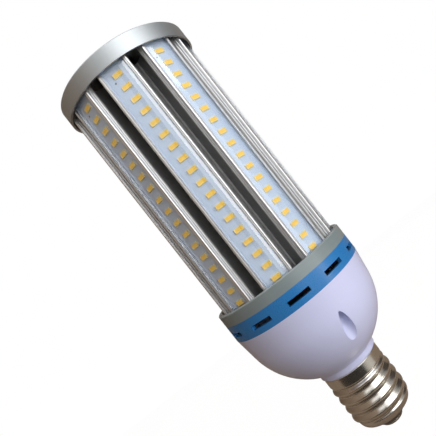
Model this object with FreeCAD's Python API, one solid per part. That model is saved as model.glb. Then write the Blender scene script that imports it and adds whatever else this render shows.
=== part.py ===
"""Corn lamp with a large screw cap: a nine-sided finned heat sink that carries strips of LEDs
all round, a vented ring, a domed driver housing and a threaded shell with a centre contact.

Millimetres. The origin is the tip of the centre contact and +Z runs along the axis to the LED head.
Angles round the axis are in degrees from -Y towards +X, so the first panel faces -Y.
"""
import FreeCAD
import Part
import math
import os

# Heights along the axis
SCREW_CAP_HEIGHT = 45.0      # contact tip to the top rim of the screw shell
COLLAR_HEIGHT = 4.6          # plain band of the housing above the shell
DOME_HEIGHT = 47.4           # curved part of the housing
VENT_RING_HEIGHT = 10.7
LOWER_RING_HEIGHT = 7.0
BODY_LENGTH = 140.3          # bare heat sink between the lower ring and the top cap
TOP_CAP_HEIGHT = 10.2

# Heat sink section
PANEL_COUNT = 9
PANEL_WIDTH = 19.0           # over the lips
LIP_APOTHEM = 40.8           # axis to the flat outer face of the lips
LIP_HEIGHT = 0.45            # lip metal over the cover
LIP_ROUND = 0.7
LIP_GROOVE_WIDTH = 0.4       # fine V groove along the middle of each lip
LIP_GROOVE_DEPTH = 0.15
SIDE_GROOVE_COUNT = 2        # shallow V grooves along the side of each head
SIDE_GROOVE_WIDTH = 0.8
SIDE_GROOVE_DEPTH = 0.35
HEAD_FLOOR = 2.0             # metal behind the board
HEAD_BEVEL = 0.8             # back corners of a head
WEB_THICKNESS = 3.0
WEB_FLARE = 1.6              # bevel where a web meets its head
WEB_FOOT = 0.9               # bevel where a web meets the tube
TUBE_OUTER_R = 18.8
TUBE_WALL = 2.5
HEAT_SINK_SEAT = 4.0         # how far the heat sink stands in the lower ring
HEAT_SINK_UNDER_CAP = 4.0    # how far it reaches up into the top cap

# Boards, LEDs and covers
BOARD_WIDTH = 15.6
BOARD_THICKNESS = 1.2
BOARD_PROUD = 2.0            # board above the end of the heat sink
NOTCH_WIDTH = 1.6            # notches for the leads in the upper end
NOTCH_PLACE = 2.0            # notch to each side of the board's middle
LINK_PLACE = 5.5             # solder points of the link wires
LED_COUNT = 18               # on each board
LED_LENGTH = 5.6             # across the board
LED_WIDTH = 3.0
LED_HEIGHT = 0.9
LED_FIRST_ABOVE_RING = 1.4   # lowest LED's centre above the lower ring's edge
LED_LAST_BELOW_CAP = 4.6     # highest LED's centre below the top cap's rim
RIB_OPENING = 14.8           # between the ribs that part the board from the cover
RIB_HEIGHT = 1.0
COVER_WIDTH = 16.4
COVER_THICKNESS = 0.8
COVER_OPENING = 15.0         # between the lips

# Top cap
CAP_WALL = 1.2
CAP_PLATE = 2.2
CAP_BEVEL = 0.8

# Rings and housing
RING_WALL = 2.84             # lower ring outside the heat sink's recess
RING_FLOOR = 3.0             # plate of the lower ring under the heat sink
RING_EDGE = 0.5              # bevel on the lower ring's upper edge
WIRE_HOLE_R = 7.0            # in the middle of that plate
VENT_WALL = 2.6
VENT_COUNT = 11
VENT_ARC = 18.2              # degrees covered by one slot
VENT_HEIGHT = 2.8
VENT_CENTRE = 4.7            # slot centre above the ring's lower edge
VENT_START = 4.5             # angle of the first slot
SPIGOT_HEIGHT = 1.5          # rims that centre the vent ring
SPIGOT_WALL = 1.5
HOUSING_WALL = 2.2
COLLAR_R = 19.9
COLLAR_BEVEL = 1.0
NECK_R = 20.3                # of the dome at the top of the collar
NECK_ROUND = 1.2             # hollow round between the collar and the dome
DOME_TAPER = 7.8             # degrees, of the wall under the rim
NECK_BORE_R = 15.5
NECK_DEPTH = 5.5             # sleeve of the housing inside the screw shell

# Screws
SCREW_R = 1.5
SCREW_HEAD_R = 2.9
SCREW_HEAD_HEIGHT = 2.2
SCREW_COUNT = 3
SCREW_BITE = 9.0             # length in the piece that the screw cuts into
CHANNEL_INSET = 1.3          # screw channels' middle inside the tube's bore
CHANNEL_R = 3.2
POCKET_INSET = 5.5           # screw pockets' middle inside the rings' outer radius
POCKET_R = 3.5
POCKET_WALL = 1.8
POCKET_SEAT_DEPTH = 12.6     # screw seat below the housing's rim
POCKET_FLOOR = 2.0
POST_R = 2.8
POST_RISE = 3.0              # housing posts above the rim

# Screw shell, insulator and contact
SHELL_SHEET = 0.6
SKIRT_R = 19.1
SKIRT_HEIGHT = 7.0
THREAD_CREST_R = 19.7
THREAD_ROOT_R = 17.95
THREAD_PITCH = 6.35
THREAD_RIDGE_WIDTH = 4.8     # at its foot
THREAD_SHOULDER_WIDTH = 3.1
THREAD_SHOULDER_DROP = 0.8   # shoulder inside the crest
THREAD_CREST_WIDTH = 1.1
THREAD_ANGLE = 128.0         # where the helix starts, from +X towards +Y
THREAD_END_GAP = 0.2         # below the skirt
SHELL_END = 8.2              # lower lip of the shell above the contact tip
SHELL_LIP_R = 15.2
SHELL_END_RISE = 3.4         # curved stretch from the lip to the thread root
INSULATOR_NOSE_R = 8.4
INSULATOR_TOP = 14.0
INSULATOR_BORE_R = 1.6
CONTACT_R = 7.5
CONTACT_FLAT_R = 4.0
CONTACT_HEIGHT = 2.6
CONTACT_BEVEL = 1.3

# Driver, hung under its board
DRIVER_BOARD_INSET = 8.13    # board's edge inside the rings' outer radius
DRIVER_BOARD_THICKNESS = 1.6
CORE_SIZE = (24.0, 11.0, 21.0)        # transformer core: across, deep, tall
CORE_PLACE = (0.0, 15.0)
WINDING_SIZE = (17.0, 18.0, 13.0)
INPUT_CAPACITOR = (6.5, 21.0)         # radius, length
INPUT_CAPACITOR_PLACE = (-15.0, -13.0)
OUTPUT_CAPACITOR = (5.0, 20.0)
OUTPUT_CAPACITOR_PLACE = (16.0, -14.0)
CHOKE_R = 8.0
CHOKE_BORE_R = 3.2
CHOKE_HEIGHT = 9.0
CHOKE_PLACE = (-22.0, 8.0)
RECTIFIER_SIZE = (14.0, 4.0, 12.0)
RECTIFIER_PLACE = (1.0, -24.0)

# Leads
LEAD_R = 0.9
LEAD_BEND = 6.0
LED_LEAD_R = 0.45
LED_LEAD_BEND = 4.0
LED_LEAD_X = (5.4, 1.8)      # where the two leads rise in the tube
FIRST_WIRED_PANEL = 2        # the chain of boards starts here and ends on the panel before it
LED_LEAD_TAIL = 0.6          # lead in front of the board

# Clearances
SLIDE_CLEARANCE = 0.05       # board and cover in their grooves, through the thickness
SIDE_CLEARANCE = 0.1         # the same, to each side, and spigots in their rings
CAP_CLEARANCE = 0.4          # heat sink corners inside the top cap and the lower ring
SCREW_CLEARANCE = 0.2        # screw in a through hole
BITE_CLEARANCE = 0.05        # screw in the hole it cuts into
NOTCH_CLEARANCE = 0.3        # driver board round the housing posts

# Levels worked out from the heights
Z_SHELL_TOP = SCREW_CAP_HEIGHT
Z_COLLAR_TOP = Z_SHELL_TOP + COLLAR_HEIGHT
Z_RIM = Z_COLLAR_TOP + DOME_HEIGHT
Z_VENT_TOP = Z_RIM + VENT_RING_HEIGHT
Z_RING_TOP = Z_VENT_TOP + LOWER_RING_HEIGHT
Z_SINK_BOTTOM = Z_RING_TOP - HEAT_SINK_SEAT
Z_CAP_RIM = Z_RING_TOP + BODY_LENGTH
Z_SINK_TOP = Z_CAP_RIM + HEAT_SINK_UNDER_CAP
Z_TOP = Z_CAP_RIM + TOP_CAP_HEIGHT
Z_PLATE = Z_TOP - CAP_PLATE
Z_SEAT = Z_RIM - POCKET_SEAT_DEPTH
Z_DRIVER_BOARD = Z_SEAT + POCKET_FLOOR
Z_POST_TOP = Z_RIM + POST_RISE
Z_WIRES = Z_SINK_TOP + BOARD_PROUD / 2

# Depths in a head, from the lips inwards
Y_GROOVE_TOP = LIP_APOTHEM - LIP_HEIGHT
Y_GROOVE_BOTTOM = Y_GROOVE_TOP - COVER_THICKNESS - SLIDE_CLEARANCE
Y_RIB_BOTTOM = Y_GROOVE_BOTTOM - RIB_HEIGHT
Y_FLOOR = Y_RIB_BOTTOM - BOARD_THICKNESS - SLIDE_CLEARANCE
Y_HEAD_BACK = Y_FLOOR - HEAD_FLOOR
Y_BOARD_FACE = Y_FLOOR + BOARD_THICKNESS
HEAD_CORNER_R = math.hypot(PANEL_WIDTH / 2, LIP_APOTHEM)
RECESS_R = HEAD_CORNER_R + CAP_CLEARANCE
RING_R = RECESS_R + RING_WALL    # lower ring, vent ring and the housing's rim
TUBE_BORE_R = TUBE_OUTER_R - TUBE_WALL
CHANNEL_CIRCLE_R = TUBE_BORE_R - CHANNEL_INSET
POCKET_CIRCLE_R = RING_R - POCKET_INSET
LED_PITCH = (BODY_LENGTH - LED_FIRST_ABOVE_RING - LED_LAST_BELOW_CAP) / (LED_COUNT - 1)

PANEL_STEP = 360.0 / PANEL_COUNT
PANEL_ANGLES = [PANEL_STEP * k for k in range(PANEL_COUNT)]
WIRED_ANGLES = PANEL_ANGLES[FIRST_WIRED_PANEL:] + PANEL_ANGLES[:FIRST_WIRED_PANEL]
SCREW_ANGLES = [PANEL_STEP / 2 + 360.0 / SCREW_COUNT * k for k in range(SCREW_COUNT)]
AXIS = FreeCAD.Vector(0, 0, 1)
CENTRE = FreeCAD.Vector(0, 0, 0)


def panel_point(across, outward, angle, z=0.0):
    """Point of the panel at an angle, from its distance across the panel and outward from the axis."""
    a = math.radians(angle)
    x = across * math.cos(a) + outward * math.sin(a)
    y = across * math.sin(a) - outward * math.cos(a)
    return FreeCAD.Vector(x, y, z)


def line(p, q):
    return Part.LineSegment(p, q).toShape()


def arc(p, middle, q):
    return Part.Arc(p, middle, q).toShape()


def cylinder(r, z0, z1, distance=0.0, angle=0.0):
    """Upright cylinder whose axis is at a distance from the lamp's axis."""
    return Part.makeCylinder(r, z1 - z0, panel_point(0, distance, angle, z0))


def ring(outer_r, inner_r, z0, z1):
    return cylinder(outer_r, z0, z1).cut(cylinder(inner_r, z0, z1))


def panel_box(width, y0, y1, z0, z1, angle, across=0.0):
    """Box on the panel at an angle, between two distances from the axis."""
    corner = FreeCAD.Vector(across - width / 2, -y1, z0)
    box = Part.makeBox(width, y1 - y0, z1 - z0, corner)
    return box.rotate(CENTRE, AXIS, angle)


def turned(edges):
    """Solid of revolution of a closed outline of edges in the XZ plane."""
    return Part.Face(Part.Wire(edges)).revolve(CENTRE, AXIS, 360)


def outline(points):
    """Straight edges through (radius, height) points, left open at the end."""
    corners = [FreeCAD.Vector(r, 0, z) for r, z in points]
    return [line(p, q) for p, q in zip(corners, corners[1:])]


def bowl(inset):
    """Section of the housing's dome, moved inwards by an inset.

    A straight taper runs down from the rim and is tangent to a sphere that has its middle on the axis
    and passes through the neck, which gives a quadratic equation for the middle's height.
    Gives the sphere's middle height and radius, the tangent point and the taper's radius at a height."""
    sine, cosine = math.sin(math.radians(DOME_TAPER)), math.cos(math.radians(DOME_TAPER))
    reach = RING_R * cosine - Z_RIM * sine
    half_b = Z_COLLAR_TOP + reach * sine
    constant = NECK_R ** 2 + Z_COLLAR_TOP ** 2 - reach ** 2
    middle = (half_b + math.sqrt(half_b ** 2 - cosine ** 2 * constant)) / cosine ** 2
    radius = reach + middle * sine - inset
    tangent = (radius * cosine, middle - radius * sine)

    def taper_r(z):
        return tangent[0] + (z - tangent[1]) * sine / cosine

    return middle, radius, tangent, taper_r


def bowl_level(inset, r):
    """Height of the sphere at a radius."""
    middle, radius, tangent, taper_r = bowl(inset)
    return middle - math.sqrt(radius ** 2 - r ** 2)


def bowl_arc(inset, r):
    """Arc of the sphere from a radius near the collar up to the taper."""
    middle, radius, tangent, taper_r = bowl(inset)
    low = math.atan2(bowl_level(inset, r) - middle, r)
    half = 0.5 * (low + math.atan2(tangent[1] - middle, tangent[0]))
    return arc(
        FreeCAD.Vector(r, 0, bowl_level(inset, r)),
        FreeCAD.Vector(radius * math.cos(half), 0, middle + radius * math.sin(half)),
        FreeCAD.Vector(tangent[0], 0, tangent[1]),
    )


def neck_round():
    """Hollow round that is tangent to the collar and to the dome: its start, a point half way and its end."""
    middle, radius, tangent, taper_r = bowl(0.0)
    across = COLLAR_R + NECK_ROUND
    z = middle - math.sqrt((radius + NECK_ROUND) ** 2 - across ** 2)
    share = radius / (radius + NECK_ROUND)
    end = FreeCAD.Vector(across * share, 0, middle + (z - middle) * share)
    half = 0.5 * (math.pi + math.atan2(end.z - z, end.x - across))
    between = FreeCAD.Vector(across + NECK_ROUND * math.cos(half), 0, z + NECK_ROUND * math.sin(half))
    return FreeCAD.Vector(COLLAR_R, 0, z), between, end


def tube_along(points, bend, r):
    """Round wire along straight runs joined by tangent arcs of one radius."""
    edges = []
    start = points[0]
    for before, corner, after in zip(points, points[1:], points[2:]):
        into = (corner - before).normalize()
        out = (after - corner).normalize()
        turn = into.getAngle(out)
        setback = bend * math.tan(turn / 2)
        first = corner - into * setback
        last = corner + out * setback
        inward = (out - into).normalize()
        middle = corner + inward * (bend / math.cos(turn / 2) - bend)
        edges.append(line(start, first))
        edges.append(arc(first, middle, last))
        start = last
    edges.append(line(start, points[-1]))
    circle = Part.Wire(Part.Circle(points[0], points[1] - points[0], r).toShape())
    return Part.Wire(edges).makePipe(Part.Face(circle))


def side_grooves():
    """Corners of the grooves along the side of a head, evenly spaced over its flat."""
    side = PANEL_WIDTH / 2
    low = Y_HEAD_BACK + HEAD_BEVEL
    step = (LIP_APOTHEM - LIP_ROUND - low) / (SIDE_GROOVE_COUNT + 1)
    half = SIDE_GROOVE_WIDTH / 2
    corners = []
    for k in range(SIDE_GROOVE_COUNT):
        middle = low + step * (k + 1)
        corners += [(-side, middle - half), (-side + SIDE_GROOVE_DEPTH, middle), (-side, middle + half)]
    return corners


def head_outline():
    """Left half of a panel's section, from the tube out over the lip and in to the board's seat.

    Each entry is (across, outward), and the lip's quarter round joins the two lists."""
    web = WEB_THICKNESS / 2
    foot = web + WEB_FOOT
    side = PANEL_WIDTH / 2
    groove = COVER_WIDTH / 2 + SIDE_CLEARANCE
    slot = BOARD_WIDTH / 2 + SIDE_CLEARANCE
    lip_middle = (side - LIP_ROUND + COVER_OPENING / 2) / 2
    before = [
        (-foot, math.sqrt(TUBE_OUTER_R ** 2 - foot ** 2)),
        (-web, TUBE_OUTER_R + WEB_FOOT),
        (-web, Y_HEAD_BACK - WEB_FLARE),
        (-web - WEB_FLARE, Y_HEAD_BACK),
        (-side + HEAD_BEVEL, Y_HEAD_BACK),
        (-side, Y_HEAD_BACK + HEAD_BEVEL),
        *side_grooves(),
        (-side, LIP_APOTHEM - LIP_ROUND),
    ]
    after = [
        (-side + LIP_ROUND, LIP_APOTHEM),
        (-lip_middle - LIP_GROOVE_WIDTH / 2, LIP_APOTHEM),
        (-lip_middle, LIP_APOTHEM - LIP_GROOVE_DEPTH),
        (-lip_middle + LIP_GROOVE_WIDTH / 2, LIP_APOTHEM),
        (-COVER_OPENING / 2, LIP_APOTHEM),
        (-COVER_OPENING / 2, Y_GROOVE_TOP),
        (-groove, Y_GROOVE_TOP),
        (-groove, Y_GROOVE_BOTTOM),
        (-RIB_OPENING / 2, Y_GROOVE_BOTTOM),
        (-RIB_OPENING / 2, Y_RIB_BOTTOM),
        (-slot, Y_RIB_BOTTOM),
        (-slot, Y_FLOOR),
    ]
    return before, after


def panel_edges(angle):
    """Edges of one whole panel of the section, from its left side round to its right side."""
    before, after = head_outline()
    inset = LIP_ROUND * (1 - math.sqrt(0.5))
    knee = (-PANEL_WIDTH / 2 + inset, LIP_APOTHEM - inset)

    def place(points, sign):
        return [panel_point(sign * x, y, angle) for x, y in points]

    def run(points):
        return [line(p, q) for p, q in zip(points, points[1:])]

    left_in, left_out = place(before, 1), place(after, 1)
    right_in, right_out = place(before[::-1], -1), place(after[::-1], -1)
    left_knee, right_knee = place([knee], 1)[0], place([knee], -1)[0]
    edges = run(left_in)
    edges.append(arc(left_in[-1], left_knee, left_out[0]))
    edges += run(left_out)
    edges.append(line(left_out[-1], right_out[0]))
    edges += run(right_out)
    edges.append(arc(right_out[-1], right_knee, right_in[0]))
    edges += run(right_in)
    return edges


def make_heat_sink():
    """One extrusion: a tube, a web to each panel and a T-shaped head with a board slot and lips."""
    web_turn = math.degrees(math.asin((WEB_THICKNESS / 2 + WEB_FOOT) / TUBE_OUTER_R))
    edges = []
    for angle in PANEL_ANGLES:
        edges += panel_edges(angle)
        start = panel_point(0, TUBE_OUTER_R, angle + web_turn)
        middle = panel_point(0, TUBE_OUTER_R, angle + PANEL_STEP / 2)
        end = panel_point(0, TUBE_OUTER_R, angle + PANEL_STEP - web_turn)
        edges.append(arc(start, middle, end))
    section = Part.Face(Part.Wire(edges))
    section.translate(FreeCAD.Vector(0, 0, Z_SINK_BOTTOM))
    length = Z_SINK_TOP - Z_SINK_BOTTOM
    sink = section.extrude(FreeCAD.Vector(0, 0, length))
    bore = cylinder(TUBE_BORE_R, Z_SINK_BOTTOM, Z_SINK_TOP)
    channels = [
        cylinder(CHANNEL_R, Z_SINK_BOTTOM, Z_SINK_TOP, CHANNEL_CIRCLE_R, angle)
        for angle in SCREW_ANGLES
    ]
    holes = [
        cylinder(SCREW_R + BITE_CLEARANCE, Z_SINK_BOTTOM, Z_SINK_TOP, CHANNEL_CIRCLE_R, angle)
        for angle in SCREW_ANGLES
    ]
    return sink.cut(bore.cut(channels)).cut(holes)


def make_board(angle):
    """Strip the length of the heat sink and a little more, with two notches for leads."""
    z_end = Z_SINK_TOP + BOARD_PROUD
    board = panel_box(BOARD_WIDTH, Y_FLOOR, Y_BOARD_FACE, Z_SINK_BOTTOM, z_end, angle)
    notches = [
        panel_box(NOTCH_WIDTH, Y_FLOOR, Y_BOARD_FACE, Z_SINK_TOP, z_end, angle, side * NOTCH_PLACE)
        for side in (-1, 1)
    ]
    return board.cut(notches)


def make_chips(angle):
    """Row of LED packages on one board's face."""
    chips = []
    for k in range(LED_COUNT):
        z = Z_RING_TOP + LED_FIRST_ABOVE_RING + LED_PITCH * k
        low, high = z - LED_WIDTH / 2, z + LED_WIDTH / 2
        chips.append(panel_box(LED_LENGTH, Y_BOARD_FACE, Y_BOARD_FACE + LED_HEIGHT, low, high, angle))
    return Part.makeCompound(chips)


def make_cover(angle):
    top = Y_GROOVE_BOTTOM + COVER_THICKNESS
    return panel_box(COVER_WIDTH, Y_GROOVE_BOTTOM, top, Z_SINK_BOTTOM, Z_SINK_TOP, angle)


def make_top_cap():
    """Turned cup over the end of the heat sink, standing on three bosses."""
    outer_r = RECESS_R + CAP_WALL
    cap = turned(outline([
        (0, Z_TOP), (0, Z_PLATE), (RECESS_R, Z_PLATE), (RECESS_R, Z_CAP_RIM), (outer_r, Z_CAP_RIM),
        (outer_r, Z_TOP - CAP_BEVEL), (outer_r - CAP_BEVEL, Z_TOP), (0, Z_TOP),
    ]))
    bosses = [cylinder(CHANNEL_R, Z_SINK_TOP, Z_PLATE, CHANNEL_CIRCLE_R, a) for a in SCREW_ANGLES]
    cap = cap.fuse(bosses).removeSplitter()
    return cap.cut([sunk_screw(a, SCREW_CLEARANCE, Z_SINK_TOP) for a in SCREW_ANGLES])


def sunk_screw(angle, clearance, z_end):
    """Screw with a flush conical head in the top cap, or its hole when a clearance is given."""
    r = SCREW_R + clearance
    head_r = SCREW_HEAD_R + clearance
    depth = head_r - r
    place = panel_point(0, CHANNEL_CIRCLE_R, angle, Z_TOP - depth)
    head = Part.makeCone(r, head_r, depth, place)
    return cylinder(r, z_end, Z_TOP - depth, CHANNEL_CIRCLE_R, angle).fuse(head).removeSplitter()


def pan_screw(distance, angle, z_seat, z_end):
    """Round-headed screw driven upwards, with its head under the seat."""
    head = cylinder(SCREW_HEAD_R, z_seat - SCREW_HEAD_HEIGHT, z_seat, distance, angle)
    return head.fuse(cylinder(SCREW_R, z_seat, z_end, distance, angle)).removeSplitter()


def make_cap_screws():
    return Part.makeCompound([sunk_screw(a, 0.0, Z_SINK_TOP - SCREW_BITE) for a in SCREW_ANGLES])


def make_ring_screws():
    z_end = Z_SINK_BOTTOM + SCREW_BITE
    screws = [pan_screw(CHANNEL_CIRCLE_R, a, Z_SINK_BOTTOM - RING_FLOOR, z_end) for a in SCREW_ANGLES]
    return Part.makeCompound(screws)


def make_housing_screws():
    z_end = Z_POST_TOP + SCREW_BITE
    return Part.makeCompound([pan_screw(POCKET_CIRCLE_R, a, Z_SEAT, z_end) for a in SCREW_ANGLES])


def make_lower_ring():
    """Ring with a recess for the heat sink, a floor, a centring rim and bosses for the housing screws."""
    spigot_r = RING_R - VENT_WALL - SIDE_CLEARANCE
    z_floor = Z_SINK_BOTTOM - RING_FLOOR
    body = turned(outline([
        (WIRE_HOLE_R, Z_SINK_BOTTOM), (RECESS_R, Z_SINK_BOTTOM), (RECESS_R, Z_RING_TOP),
        (RING_R - RING_EDGE, Z_RING_TOP), (RING_R, Z_RING_TOP - RING_EDGE), (RING_R, Z_VENT_TOP),
        (spigot_r, Z_VENT_TOP), (spigot_r, Z_VENT_TOP - SPIGOT_HEIGHT),
        (spigot_r - SPIGOT_WALL, Z_VENT_TOP - SPIGOT_HEIGHT), (spigot_r - SPIGOT_WALL, z_floor),
        (WIRE_HOLE_R, z_floor), (WIRE_HOLE_R, Z_SINK_BOTTOM),
    ]))
    z_pilot = Z_POST_TOP + SCREW_BITE
    bosses = [cylinder(POST_R, Z_POST_TOP, Z_SINK_BOTTOM, POCKET_CIRCLE_R, a) for a in SCREW_ANGLES]
    holes = [
        cylinder(SCREW_R + BITE_CLEARANCE, Z_POST_TOP, z_pilot, POCKET_CIRCLE_R, a)
        for a in SCREW_ANGLES
    ]
    holes += [
        cylinder(SCREW_R + SCREW_CLEARANCE, z_floor, Z_SINK_BOTTOM, CHANNEL_CIRCLE_R, a)
        for a in SCREW_ANGLES
    ]
    return body.fuse(bosses).removeSplitter().cut(holes)


def make_vent_ring():
    """Plain ring with a row of slots, held between the housing's rim and the lower ring."""
    inner_r = RING_R - VENT_WALL
    body = ring(RING_R, inner_r, Z_RIM, Z_VENT_TOP)
    low = Z_RIM + VENT_CENTRE - VENT_HEIGHT / 2
    slots = []
    for k in range(VENT_COUNT):
        slot = Part.makeCylinder(2 * RING_R, VENT_HEIGHT, FreeCAD.Vector(0, 0, low), AXIS, VENT_ARC)
        slots.append(slot.rotate(CENTRE, AXIS, VENT_START + 360.0 / VENT_COUNT * k - VENT_ARC / 2 - 90))
    return body.cut(slots)


def make_base_housing():
    """Domed shell with a collar, a sleeve for the screw shell, a rim and three screw pockets."""
    spigot_r = RING_R - VENT_WALL - SIDE_CLEARANCE
    ledge_r = spigot_r - SPIGOT_WALL
    sleeve_r = SKIRT_R - SHELL_SHEET - SIDE_CLEARANCE
    z_sleeve = Z_SHELL_TOP - NECK_DEPTH
    outer_tangent = bowl(0.0)[2]
    inner_tangent, inner_taper_r = bowl(HOUSING_WALL)[2:]
    z_ledge = Z_RIM - 2 * HOUSING_WALL
    round_start, round_middle, round_end = neck_round()
    edges = outline([
        (NECK_BORE_R, z_sleeve), (sleeve_r, z_sleeve), (sleeve_r, Z_SHELL_TOP),
        (COLLAR_R - COLLAR_BEVEL, Z_SHELL_TOP), (COLLAR_R, Z_SHELL_TOP + COLLAR_BEVEL),
        (COLLAR_R, round_start.z),
    ])
    edges.append(arc(round_start, round_middle, round_end))
    edges.append(bowl_arc(0.0, round_end.x))
    edges += outline([
        outer_tangent, (RING_R, Z_RIM), (spigot_r, Z_RIM), (spigot_r, Z_RIM + SPIGOT_HEIGHT),
        (ledge_r, Z_RIM + SPIGOT_HEIGHT), (ledge_r, Z_RIM - HOUSING_WALL),
        (inner_taper_r(z_ledge), z_ledge), inner_tangent,
    ])
    edges.append(bowl_arc(HOUSING_WALL, NECK_BORE_R))
    edges += outline([
        (NECK_BORE_R, bowl_level(HOUSING_WALL, NECK_BORE_R)), (NECK_BORE_R, z_sleeve),
    ])
    shell = turned(edges)
    middle_of_wall = HOUSING_WALL / 2
    core_tangent, core_taper_r = bowl(middle_of_wall)[2:]
    z_core = bowl_level(middle_of_wall, NECK_R)
    core = turned(
        outline([(0, Z_RIM), (0, z_core), (NECK_R, z_core)])
        + [bowl_arc(middle_of_wall, NECK_R)]
        + outline([core_tangent, (core_taper_r(Z_RIM), Z_RIM), (0, Z_RIM)])
    )
    additions, cuts = [], []
    for angle in SCREW_ANGLES:
        sheath = cylinder(POCKET_R + POCKET_WALL, Z_COLLAR_TOP, Z_DRIVER_BOARD, POCKET_CIRCLE_R, angle)
        additions.append(sheath.common(core))
        additions.append(cylinder(POST_R, Z_SEAT, Z_POST_TOP, POCKET_CIRCLE_R, angle))
        cuts.append(cylinder(POCKET_R, Z_SHELL_TOP, Z_SEAT, POCKET_CIRCLE_R, angle))
        cuts.append(cylinder(SCREW_R + SCREW_CLEARANCE, Z_SEAT, Z_POST_TOP, POCKET_CIRCLE_R, angle))
    return shell.fuse(additions).removeSplitter().cut(cuts)


def make_screw_shell():
    """Sheet shell: a turned-in lip, a wall with a knuckle thread and a flared skirt."""
    z_root = SHELL_END + SHELL_END_RISE
    z_skirt = Z_SHELL_TOP - SKIRT_HEIGHT
    flare = SKIRT_R - THREAD_ROOT_R
    inner_root = THREAD_ROOT_R - SHELL_SHEET
    inner_skirt = SKIRT_R - SHELL_SHEET
    knee = (THREAD_ROOT_R - SHELL_SHEET, SHELL_END + SHELL_END_RISE / 3)
    lip = turned(outline([
        (SHELL_LIP_R, SHELL_END), (SHELL_LIP_R + SHELL_SHEET, SHELL_END), knee, (THREAD_ROOT_R, z_root),
        (inner_root, z_root), (SHELL_LIP_R, SHELL_END + SHELL_SHEET), (SHELL_LIP_R, SHELL_END),
    ]))
    skirt = turned(outline([
        (inner_root, z_skirt), (THREAD_ROOT_R, z_skirt), (SKIRT_R, z_skirt + flare), (SKIRT_R, Z_SHELL_TOP),
        (inner_skirt, Z_SHELL_TOP), (inner_skirt, z_skirt + flare), (inner_root, z_skirt),
    ]))
    solid = cylinder(THREAD_ROOT_R, z_root, z_skirt).fuse(thread_ridge(z_root, z_skirt))
    wall = solid.cut(cylinder(inner_root, z_root, z_skirt))
    return wall.fuse([lip, skirt])


def thread_ridge(z_low, z_high):
    """Rounded ridge of the knuckle thread, in five flats, on a right-handed helix between two heights."""
    half = THREAD_RIDGE_WIDTH / 2
    foot_r = THREAD_ROOT_R - SHELL_SHEET
    upper = [
        (THREAD_CREST_R, THREAD_CREST_WIDTH / 2),
        (THREAD_CREST_R - THREAD_SHOULDER_DROP, THREAD_SHOULDER_WIDTH / 2),
        (foot_r, half),
    ]
    lower = [(r, -z) for r, z in upper[::-1]]
    section = lower + upper + lower[:1]
    rise = z_high - z_low - THREAD_RIDGE_WIDTH - THREAD_END_GAP
    helix = Part.makeHelix(THREAD_PITCH, rise, foot_r)
    ridge = Part.Wire(helix.Edges).makePipeShell([Part.Wire(outline(section))], True, True)
    ridge.rotate(CENTRE, AXIS, THREAD_ANGLE)
    ridge.translate(FreeCAD.Vector(0, 0, z_low + half))
    return ridge


def make_cap_insulator():
    """Cone between the shell's lip and the contact, with a plug inside the shell and a hole for the lead."""
    inner_root = THREAD_ROOT_R - SHELL_SHEET - SIDE_CLEARANCE
    z_seat = SHELL_END + SHELL_SHEET
    lip_r = SHELL_LIP_R - SIDE_CLEARANCE
    z_root = SHELL_END + SHELL_END_RISE
    return turned(outline([
        (INSULATOR_BORE_R, CONTACT_HEIGHT), (INSULATOR_NOSE_R, CONTACT_HEIGHT), (lip_r, SHELL_END),
        (lip_r, z_seat), (inner_root, z_root), (inner_root, INSULATOR_TOP),
        (INSULATOR_BORE_R, INSULATOR_TOP), (INSULATOR_BORE_R, CONTACT_HEIGHT),
    ]))


def make_centre_contact():
    """Flat button with a bevelled edge."""
    return turned(outline([
        (0, 0), (CONTACT_FLAT_R, 0), (CONTACT_R, CONTACT_BEVEL), (CONTACT_R, CONTACT_HEIGHT),
        (0, CONTACT_HEIGHT), (0, 0),
    ]))


def make_driver_board():
    """Round board on the shoulders of the screw pockets, notched round the posts."""
    top = Z_DRIVER_BOARD + DRIVER_BOARD_THICKNESS
    board = cylinder(RING_R - DRIVER_BOARD_INSET, Z_DRIVER_BOARD, top)
    notches = [
        cylinder(POST_R + NOTCH_CLEARANCE, Z_DRIVER_BOARD, top, POCKET_CIRCLE_R, a)
        for a in SCREW_ANGLES
    ]
    return board.cut(notches)


def hung_box(size, place, drop=0.0):
    """Box hung under the driver board, centred on a place."""
    corner = FreeCAD.Vector(place[0] - size[0] / 2, place[1] - size[1] / 2, Z_DRIVER_BOARD - drop - size[2])
    return Part.makeBox(size[0], size[1], size[2], corner)


def hung_cylinder(r, length, place):
    return Part.makeCylinder(r, length, FreeCAD.Vector(place[0], place[1], Z_DRIVER_BOARD - length))


def winding_drop():
    return (CORE_SIZE[2] - WINDING_SIZE[2]) / 2


def make_transformer_core():
    """Ferrite frame with a middle leg, seen as a block with two windows for the winding."""
    core = hung_box(CORE_SIZE, CORE_PLACE)
    return core.cut(make_transformer_winding())


def make_transformer_winding():
    """Coil round the middle leg of the core."""
    coil = hung_box(WINDING_SIZE, CORE_PLACE, winding_drop())
    leg = hung_box((WINDING_SIZE[0] / 2, CORE_SIZE[1], CORE_SIZE[2]), CORE_PLACE)
    return coil.cut(leg)


def make_choke():
    body = hung_cylinder(CHOKE_R, CHOKE_HEIGHT, CHOKE_PLACE)
    return body.cut(hung_cylinder(CHOKE_BORE_R, CHOKE_HEIGHT, CHOKE_PLACE))


def make_live_lead():
    """From the contact up the middle of the screw shell to the driver board."""
    x, y = LEAD_BEND, -LEAD_BEND
    points = [
        FreeCAD.Vector(0, 0, CONTACT_HEIGHT),
        FreeCAD.Vector(0, 0, Z_SHELL_TOP),
        FreeCAD.Vector(x, y, Z_COLLAR_TOP + 2 * LEAD_BEND),
        FreeCAD.Vector(x, y, Z_DRIVER_BOARD),
    ]
    return tube_along(points, LEAD_BEND, LEAD_R)


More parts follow.
